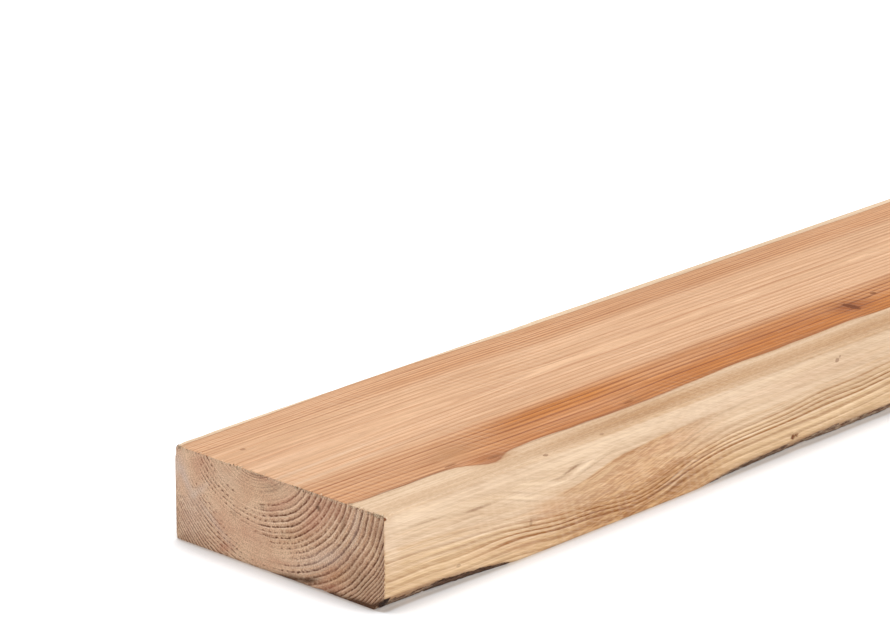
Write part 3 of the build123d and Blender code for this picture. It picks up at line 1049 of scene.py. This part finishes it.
def makeLongGrain():
    look = longGrain
    material, tree, shader = newMaterial("sawn_long_grain")
    place = addNode(tree, "TexCoord").outputs["Object"]
    fibre, band, broad, ducts = fibresAt(tree, place, (34, 0.5), (75, 1.7), (150, 6), (18, 0.6))
    rising, falling = (
        addNode(tree, "Mapping", {"Vector": place, "Rotation": (0, slope, 0)}).outputs[0]
        for slope in (0.2, -0.3)
    )
    (mottle,), (ripple,) = fibresAt(tree, rising, (10, 0.75)), fibresAt(tree, falling, (11, 0.8))
    saw = placeGroup(tree, sawGroup, Place=place, Pitch=5.5 * mm, Slant=0.3, Patch=45 * mm)
    knot = knotsAt(tree)
    heart, outer, deep, below = (read(tree, name) for name in ("heart", "outer", "deep", "below"))
    rings, bold, late = ringsAt(tree, place, band["Streak"], 0.65, 0.4, Length=90 * mm, Breadth=7 * mm,
                                Waver=0.5, Fineness=5.0, LateFrom=0.36)

    # Sapwood, with bolder lines towards the bark, and its darker wood beside the whorls.
    sap = mixColour(tree, late, look["sapEarly"], look["sapLate"])
    outerSap = mixColour(tree, late, look["outerEarly"], look["outerLate"])
    rim = times(tree, ramp(tree, below, 0.2, 1.0), ramp(tree, below, 1.4, 3.4, 1.0, 0.0))
    shaded = times(tree, ramp(tree, below, -0.5, 0.9), ramp(tree, below, 4.0, 24.0, 0.8, 1.1))
    shaded = times(tree, calc(tree, "MULTIPLY_ADD", rim, 0.3, shaded), read(tree, "shade"))
    wood = layColours(
        tree, look, mixColour(tree, outer, sap, outerSap),
        (times(tree, times(tree, rings["Pale"], bold), fade(tree, outer, 0.0, 0.4)), "outerPale"),
        (times(tree, shaded, 0.42), "shade", "MULTIPLY"),
        (times(tree, shaded, ramp(tree, mottle["Streak"], 0.1, 0.9, 0.5, 0.0)), "mottle", "MULTIPLY"),
    )

    # Heartwood with its dark edge, then the patches and the knots.
    # Deep heartwood colour, which on the top's near half is partly painted shade.
    early = mixColour(tree, deep, look["heartEarly"], look["deepEarly"])
    dark = mixColour(tree, deep, look["heartLate"], look["deepLate"])
    wood = mixColour(tree, ramp(tree, heart, -0.35, 0.35), wood, mixColour(tree, late, early, dark))
    offEdge = calc(tree, "ABSOLUTE", calc(tree, "SUBTRACT", heart, 0.3))
    wood = layColours(
        tree, look, wood,
        (ramp(tree, offEdge, 0.1, 0.9, 0.5, 0.0), "heartEdge"),
        # These patches multiply the wood: its own tone, and along the top's near edge partly painted shade.
        (times(tree, read(tree, "tan"), 0.9), "tan", "MULTIPLY"),
    )
    wood = layPatches(tree, look, wood, blush=0.5, dim=0.6, pale=0.6, outside=0.75)
    wood = layColours(tree, look, wood, (times(tree, knot["Halo"], 0.35), "blush"))
    wood = layKnots(tree, look, wood, knot, 0.45)

    # Fine figure: cracks, bands, fibres, resin ducts, saw marks, and ripples in the sapwood.
    calm = ramp(tree, read(tree, "bold"), 0.2, 0.8, 0.2, 1.0)
    inSap = ramp(tree, heart, -1.0, 0.0, 1.0, 0.0)
    wood = layColours(
        tree, look, wood,
        (knot["Crack"], "knotRim"),
        (fade(tree, broad["Streak"], 0.0, 0.22), "grey", "MULTIPLY"),
        (fade(tree, band["Streak"], 0.2, 0.0), "dim", "MULTIPLY"),
        (fade(tree, fibre["Streak"], 0.12, 0.0), "dim", "MULTIPLY"),
        (times(tree, fade(tree, rings["Line"], 0.3, 0.0), calm), "dim", "MULTIPLY"),
        (times(tree, ducts["Fleck"], fade(tree, heart, 0.08, 0.3)), "duct"),
        (times(tree, fibre["Fleck"], 0.2), "pale"),
        (times(tree, saw["Mark"], 0.06), "pale"),
        (times(tree, ramp(tree, ripple["Streak"], 0.4, 1.0, 0.0, 0.12), inSap), "pale"),
        (times(tree, ramp(tree, ripple["Streak"], 0.0, 0.5, 0.1, 0.0), inSap), "dim", "MULTIPLY"),
    )
    marks = [(*spot, 0.0, 0.7) for spot in spots]
    marks += [(along, -74, up, half, 1.5, high, *rest) for along, up, half, high, *rest in streaks]
    for along, across, up, *sizes, strength, slope, edge in marks:
        middle = (along * mm - length / 2, across * mm, up * mm)
        halves = [size * mm for size in sizes]
        spot = placeGroup(tree, spotGroup, Place=place, Middle=middle, Sizes=halves, Slope=slope, Edge=edge)
        mark = (times(tree, spot["Mask"], abs(strength)), "speck" if strength > 0 else "outerPale")
        wood = layColours(tree, look, wood, mark)
    height = calc(tree, "ADD", times(tree, late, 0.5), times(tree, fibre["Streak"], 0.5))
    height = calc(tree, "ADD", height, times(tree, saw["Mark"], 0.15))
    dressShader(tree, shader, wood, fade(tree, fibre["Streak"], 0.72, 0.86), 0.3, height, 0.35, 0.35 * mm)
    return material


endGrain = colours(
    early=(240, 205, 171), late=(106, 62, 40), brown=(188, 134, 96), blush=(198, 130, 104), dim=(92, 62, 40),
    bright=(246, 218, 188), tan=(214, 184, 146), pale=(232, 208, 188), knot=(150, 96, 60),
    knotRim=(64, 40, 26),
)


def makeEndGrain():
    look = endGrain
    material, tree, shader = newMaterial("sawn_end_grain")
    place = addNode(tree, "TexCoord").outputs["Object"]
    pores, breaks, clouds = fibresAt(tree, place, (30, 0.7), (30, 1.9), (60, 9))
    rings, bold, late = ringsAt(tree, place, breaks["Streak"], 0.55, 0.45, Length=30 * mm, Breadth=6 * mm,
                                Waver=0.42, Fineness=3.0, LateFrom=0.46)
    notPale = calc(tree, "SUBTRACT", 1.0, rings["Pale"])
    wood = layColours(
        tree, look, look["early"],
        (times(tree, notPale, ramp(tree, bold, 0.6, 1.3, 0.0, 0.5)), "brown"),
        (late, "late"),
        (times(tree, rings["Pale"], ramp(tree, bold, 0.5, 1.4, 0.1, 0.95)), "bright"),
        (read(tree, "tan"), "tan", "MULTIPLY"),
    )
    wood = layPatches(tree, look, wood, blush=0.5, pale=0.7, dim=0.75)
    wood = layColours(
        tree, look, layKnots(tree, look, wood, knotsAt(tree), 0.3),
        (fade(tree, pores["Streak"], 0.42, 0.0), "late", "MULTIPLY"),
        (fade(tree, rings["Line"], 0.22, 0.0), "late", "MULTIPLY"),
        (fade(tree, clouds["Streak"], 0.0, 0.16), "blush", "MULTIPLY"),
        (times(tree, pores["Fleck"], 0.45), "pale"),
    )
    height = calc(tree, "ADD", times(tree, late, 0.7), times(tree, pores["Streak"], 0.5))
    dressShader(tree, shader, wood, fade(tree, pores["Streak"], 0.85, 0.95), 0.2, height, 0.25, 0.3 * mm)
    return material


dressedPlank = makePlank()
dressedPlank.data.materials.append(makeLongGrain())
dressedPlank.data.materials.append(makeEndGrain())
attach(dressedPlank, "root")
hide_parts("plank")


# Bark left on the wane: a ragged layer in patches.

bark = {
    "nearStep": 1.1 * mm,              # of the grid along the plank, in the first stretch
    "nearLength": 420 * mm,
    "farStep": 2.6 * mm,
    "cells": 14,                       # of the grid across the wane
    "fromEnd": 0.12 * mm,
    "root": 0.5 * mm,                  # how deep its back lies in the wood
    "thickness": 0.65 * mm,
    "thinnest": 0.15 * mm,
    "roughness": ((0.55, 7, 2.5), (0.4, 2.4, 1)),    # noises of the amount
    "thinning": (0.3, 0.5),            # of the amount towards both edges, and towards the side face
    "shed": 0.02 * mm,                 # it stays this far within the side plane and above the floor
    "keepAbove": 0.3,                  # of the amount that noise makes ragged
    "leastLeg": 1.1 * mm,              # of the wane that carries it
    # Stretches in the first part of the wane: from, to, the amount of bark and its tone, from 0 for dark
    # brown to 1 for grey, and below 0 for black, as in the chunk at the first end.
    "stretches": [
        (-4, 9, 0.42, 0.7), (7, 37, 0.5, 0.75), (34, 84, 0.85, 0.15), (76, 108, 0.8, 0.1),
        (236, 262, 0.3, 0.9), (254, 314, 0.8, 0.65), (312, 336, 0.4, 0.9), (332, 402, 0.85, 1.0),
    ],
    "stretchBlur": 5 * mm,
    "laterFrom": (400 * mm, 430 * mm), # beyond them, slow noise says how much there is
    "chunk": (4.6 * mm, 2.2 * mm),     # it thins out between these places
    "chunkHeight": 2.4,                # how much it adds to the amount
    "dark": colour(38, 24, 18),
    "brown": colour(108, 68, 46),
    "black": colour(30, 19, 15),
    "grey": colour(200, 174, 146),
}


def barkAmount(along):
    # How much bark the wane carries and how grey it is: the stretches of the first part, then slow noise.
    amount, tone = np.zeros(along.shape), np.zeros(along.shape)
    half = bark["stretchBlur"] / 2
    for start, end, much, grey in bark["stretches"]:
        here = smoothStep(start * mm - half, start * mm + half, along)
        here = here * smoothStep(end * mm + half, end * mm - half, along)
        tone = tone + here * grey
        amount = np.maximum(amount, here * much)
    later = smoothStep(*bark["laterFrom"], along)
    slow, slowTone = 0.5 + 0.75 * noiseAt(81, (along, 70)), 0.5 + 0.6 * noiseAt(82, (along, 110))
    return amount + later * (slow - amount), np.clip(tone + later * (slowTone - tone), -1, 1)


def makeBark():
    # The outside lies off the wane's arc by the bark's thickness, which follows its amount with noise and
    # thins out towards the side face. The back lies in the wood.
    near = np.arange(bark["fromEnd"], bark["nearLength"], bark["nearStep"])
    far = np.arange(bark["nearLength"], length - bark["fromEnd"], bark["farStep"])
    stations = np.concatenate([near, far])[:, None]
    share = np.linspace(-0.98, 0.98, bark["cells"] + 1)[None, :]
    off, up, leg, turn = wanePoint(stations, share)
    amount, tone = barkAmount(stations)
    around = 4 * mm * share
    rough = noiseSum(83, bark["roughness"], stations, around)
    body = amount + rough * np.clip(amount * 1.6, 0, 0.8)
    atEdges, atSide = bark["thinning"]
    body = body - atEdges * np.abs(share) ** 5 - atSide * smoothStep(-0.3, 0.9, share)
    chunk = smoothStep(*bark["chunk"], stations) * smoothStep(-0.5, 0.1, share)
    body, tone = body + bark["chunkHeight"] * chunk, tone - 2 * chunk
    body = body * smoothStep(bark["leastLeg"], bark["leastLeg"] + 1.2 * mm, leg)
    thick = np.clip((body - 0.2) * bark["thickness"], bark["thinnest"], None)
    outer, inner = (
        np.stack([stations + off * 0, off + out * np.cos(turn), up + out * np.sin(turn)], -1)
        for out in (thick, -bark["root"])
    )
    outer[..., 1:] = np.maximum(outer[..., 1:], bark["shed"])

    # A cell is kept where there is enough bark at its middle. Where kept cells meet only at a corner, the
    # cells between them are kept too, so that the shell stays closed.
    middle = (body[:-1, :-1] + body[1:, :-1] + body[:-1, 1:] + body[1:, 1:]) / 4
    keep = np.pad(middle > bark["keepAbove"], 1)
    for _ in range(6):
        a, b, c, d = keep[:-1, :-1], keep[1:, :-1], keep[:-1, 1:], keep[1:, 1:]
        falling, rising = a & d & ~b & ~c, b & c & ~a & ~d
        keep[1:, :-1] |= falling
        keep[:-1, :-1] |= rising
        keep[[0, -1], :] = False
        keep[:, [0, -1]] = False
    cells = keep[1:-1, 1:-1]
    index = np.arange(off.size).reshape(off.shape)
    a, b, c, d = index[:-1, :-1], index[1:, :-1], index[1:, 1:], index[:-1, 1:]
    faces = [np.stack([a, b, c, d], -1)[cells], np.stack([a, d, c, b], -1)[cells] + off.size]
    besides = (keep[1:-1, :-2], keep[2:, 1:-1], keep[1:-1, 2:], keep[:-2, 1:-1])
    for beside, first, second in zip(besides, (a, b, c, d), (b, c, d, a)):
        first, second = first[cells & ~beside], second[cells & ~beside]
        faces.append(np.stack([second, first, first + off.size, second + off.size], -1))
    used, faces = np.unique(np.concatenate(faces), return_inverse=True)
    points = np.concatenate([outer.reshape(-1, 3), inner.reshape(-1, 3)])
    points = points - np.array([length / 2, width / 2, 0])
    grey = np.tile(np.broadcast_to(tone, off.shape).ravel(), 2)
    return addPiece("bark_layer", points[used], faces.reshape(-1, 4), {"tone": grey[used]})


def makeBarkMaterial():
    material, tree, shader = newMaterial("ragged_bark")
    flakes, threads = fibresAt(tree, addNode(tree, "TexCoord").outputs["Object"], (6, 1.6), (9, 0.45))
    tone = read(tree, "tone")
    brown = mixColour(tree, flakes["Streak"], bark["dark"], bark["brown"])
    grey = mixColour(tree, flakes["Streak"], bark["brown"], bark["grey"])
    wood = layColours(
        tree, bark, mixColour(tree, tone, brown, grey),
        (fade(tree, threads["Streak"], 0.5, 0.0), "dark"),
        (ramp(tree, tone, -0.8, 0.0, 0.75, 0.0), "black"),
        (times(tree, threads["Fleck"], 0.4), "grey"),
    )
    height = calc(tree, "ADD", flakes["Streak"], times(tree, threads["Streak"], 0.5))
    dressShader(tree, shader, wood, fade(tree, threads["Streak"], 0.95, 0.85), 0.2, height, 0.8, 0.6 * mm)
    return material


barkLayer = makeBark()
barkLayer.data.materials.append(makeBarkMaterial())
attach(barkLayer, "root")


# Torn fibres along the first end's edges, where the saw came out.

torn = {
    "count": 520,
    "nearShare": 0.6,                  # of them, which lie in the near part
    "nearPart": (-0.495, -0.1),        # across, as shares of the width
    "farPart": (-0.1, 0.49),
    "sideways": (0.7, 0.25),           # how far they lean and how far they bend that way
    "length": (0.5 * mm, 2.3 * mm),
    "thick": (0.2 * mm, 0.5 * mm),
    "alongTop": 0.16,                  # of them lie on the top face, and the others hang over the end
    "steps": (0.0, 0.3, 0.6, 0.85),
    "rooted": (0.3 * mm, 0.35 * mm),   # how far behind the end and below the top it starts
    "inside": 0.01 * mm,               # it stays this far within the solid's box
    "pale": colour(244, 222, 190),
    "dark": colour(112, 72, 46),
    "seed": 8,
}


def makeTornFibres():
    # Each fibre is a three-sided spike along a parabola: root + way * t + bend * t * t, with a thickness
    # that falls as the square root of 1 - t.
    random = np.random.default_rng(torn["seed"])
    count = torn["count"]
    near = random.random(count) < torn["nearShare"]
    nearPlace, farPlace = (random.uniform(*torn[part], count) for part in ("nearPart", "farPart"))
    across = np.where(near, nearPlace, farPlace) * width
    lying = random.random(count) < torn["alongTop"]
    reach = random.uniform(0, 1, count) ** 1.6 * (torn["length"][1] - torn["length"][0]) + torn["length"][0]
    thick = random.uniform(*torn["thick"], count)
    lean = random.normal(0, torn["sideways"][0], count)
    behind, below = torn["rooted"]
    root = np.stack([np.full(count, -length / 2 + behind), across, np.full(count, thickness - below)], -1)
    over = np.stack([np.full(count, -0.12), lean, np.full(count, -1.0)], -1)
    back = np.stack([np.full(count, 1.0), 0.3 * lean, np.full(count, 0.3)], -1)
    way = np.where(lying[:, None], back, over)
    way = way / np.linalg.norm(way, axis=-1, keepdims=True) * reach[:, None]
    bend = np.stack([0 * lean, random.normal(0, torn["sideways"][1], count) * reach, 0 * lean], -1)
    t = np.array(torn["steps"])[None, :, None, None]
    turn = (np.arange(3) * 2 * math.pi / 3)[None, None, :, None]
    aside = np.array([0, 1.0, 0])
    out = np.where(lying[:, None], np.array([0, 0, 1.0]), np.array([1.0, 0, 0]))
    middle = root[:, None, None] + way[:, None, None] * t + bend[:, None, None] * t * t
    size = thick[:, None, None, None] * np.sqrt(1 - t)
    ring = middle + size * (np.cos(turn) * aside + np.sin(turn) * out[:, None, None])
    tip = (root + way + bend)[:, None]
    points = np.concatenate([ring.reshape(count, -1, 3), tip], 1)
    low = np.array([-length / 2 + torn["inside"], -width / 2 + torn["inside"], 0])
    points = np.clip(points, low, np.array([0, width / 2, thickness - torn["inside"]]))

    # Faces of one spike: its root, its walls and its tip, in an order that follows the spike's own hand.
    last = 3 * (len(torn["steps"]) - 1)
    one = [(0, 1, 2)]
    for first in range(0, last + 1, 3):
        for side in range(3):
            a, b = first + side, first + (side + 1) % 3
            one += [(a, b + 3, b), (a, a + 3, b + 3)] if first < last else [(a, last + 3, b)]
    faces = np.array(one)[None] + (np.arange(count) * points.shape[1])[:, None, None]
    hand = np.einsum("ij,ij->i", np.cross(aside, out), way) < 0
    faces = np.where(hand[:, None, None], faces[..., ::-1], faces)
    tone = np.repeat(random.random(count) ** 1.4, points.shape[1])
    return addPiece("torn_fibres", points.reshape(-1, 3), faces.reshape(-1, 3), {"tone": tone})


def makeTornMaterial():
    material, tree, shader = newMaterial("torn_fibre")
    (speckle,) = fibresAt(tree, addNode(tree, "TexCoord").outputs["Object"], (3, 0.6))
    wood = layColours(
        tree, torn, torn["pale"],
        (read(tree, "tone"), "dark"),
        (fade(tree, speckle["Streak"], 0.3, 0.0), "dark"),
    )
    dressShader(tree, shader, wood, fade(tree, speckle["Streak"], 0.95, 0.8), 0.2)
    return material


tornFibres = makeTornFibres()
tornFibres.data.materials.append(makeTornMaterial())
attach(tornFibres, "root")


# Floor, lamps and world.

studio = {
    "floorSize": 30,
    "floorColour": (0.82, 0.82, 0.83, 1),
    "floorGlow": 0.54,             # added to the seen floor, so that it is white but for the shadow
    "paintedLightUnderWane": 0.15,              # and right under the wane, as painted light that lifts the shade of the overhang
    "seenColour": (0.73, 0.73, 0.74, 1),
    "shadowReach": 28 * mm,        # the glow falls away this near to the plank
    "contactShadowReach": 6 * mm,        # and a painted contact shadow darkens the seen floor this near to it
    # the colour of the painted contact shadow
    "contactShadowColour": (0.62, 0.56, 0.51, 1),
    "worldLight": 0.60,
    "lamps": {                     # where each hangs, its size and its power
        "key": ((-0.4, -3.2, 2.6), 2.4, 74),
        "fill": ((-3.6, -1.4, 2.0), 2.2, 34),
        "top": ((-0.4, 1.2, 3.4), 2.6, 42),
    },
    "aim": (-1.0, 0, 0.02),
}


def seenDirectly(tree):
    # 1 where the camera sees the thing itself, or sees it through glass or in a mirror.
    path = addNode(tree, "LightPath").outputs
    seen = calc(tree, "MAXIMUM", path["Is Camera Ray"], path["Is Glossy Ray"])
    return calc(tree, "MAXIMUM", seen, path["Is Transmission Ray"])


def makeStudio():
    mesh = bpy.data.meshes.new("floor")
    half = studio["floorSize"] / 2
    corners = [(x * half, y * half, 0) for x, y in ((-1, -1), (1, -1), (1, 1), (-1, 1))]
    mesh.from_pydata(corners, [], [(0, 1, 2, 3)])
    floor = bpy.data.objects.new("floor", mesh)
    scene.collection.objects.link(floor)
    material, tree, shader = newMaterial("pale_floor")
    shader.inputs["Roughness"].default_value = 0.9
    shader.inputs["Specular IOR Level"].default_value = 0.0
    shader.inputs["Emission Color"].default_value = (1, 1, 1, 1)
    openNear, openWide = (
        addNode(tree, "AmbientOcclusion", {"Distance": studio[reach]}).outputs["AO"]
        for reach in ("contactShadowReach", "shadowReach")
    )
    seen = seenDirectly(tree)
    # Painted contact shadow: where the plank is close, the seen floor turns to the contact shadow's colour.
    opened = ramp(tree, openNear, 0.5, 0.78)
    seenColour = mixColour(tree, opened, studio["contactShadowColour"], studio["seenColour"])
    tree.links.new(mixColour(tree, seen, studio["floorColour"], seenColour), shader.inputs["Base Color"])
    glow = ramp(tree, openWide, 0.4, 0.98, 0.0, studio["floorGlow"])
    # Painted light: the seen floor glows more right under the wane, where the overhang shades it.
    glow = calc(tree, "ADD", glow, ramp(tree, openNear, 0.2, 0.5, studio["paintedLightUnderWane"], 0.0))
    tree.links.new(times(tree, seen, glow), shader.inputs["Emission Strength"])
    mesh.materials.append(material)

    world = bpy.data.worlds.new("studio")
    scene.world = world
    world.use_nodes = True
    tree = world.node_tree
    tree.nodes.clear()
    light = addNode(tree, "Background", {"Color": (1, 1, 1, 1), "Strength": studio["worldLight"]})
    white = addNode(tree, "Background", {"Color": (1, 1, 1, 1), "Strength": 1.0})
    both = addNode(tree, "MixShader", {0: seenDirectly(tree), 1: light.outputs[0], 2: white.outputs[0]})
    addNode(tree, "OutputWorld", {"Surface": both.outputs[0]})

    for name, (place, size, power) in studio["lamps"].items():
        lamp = bpy.data.lights.new(name, "AREA")
        lamp.size, lamp.energy = size, power
        hung = bpy.data.objects.new(name, lamp)
        hung.location = place
        hung.rotation_euler = (Vector(studio["aim"]) - Vector(place)).to_track_quat("-Z", "Y").to_euler()
        scene.collection.objects.link(hung)


makeStudio()
scene.view_settings.view_transform = "Standard"
print("studio lit")
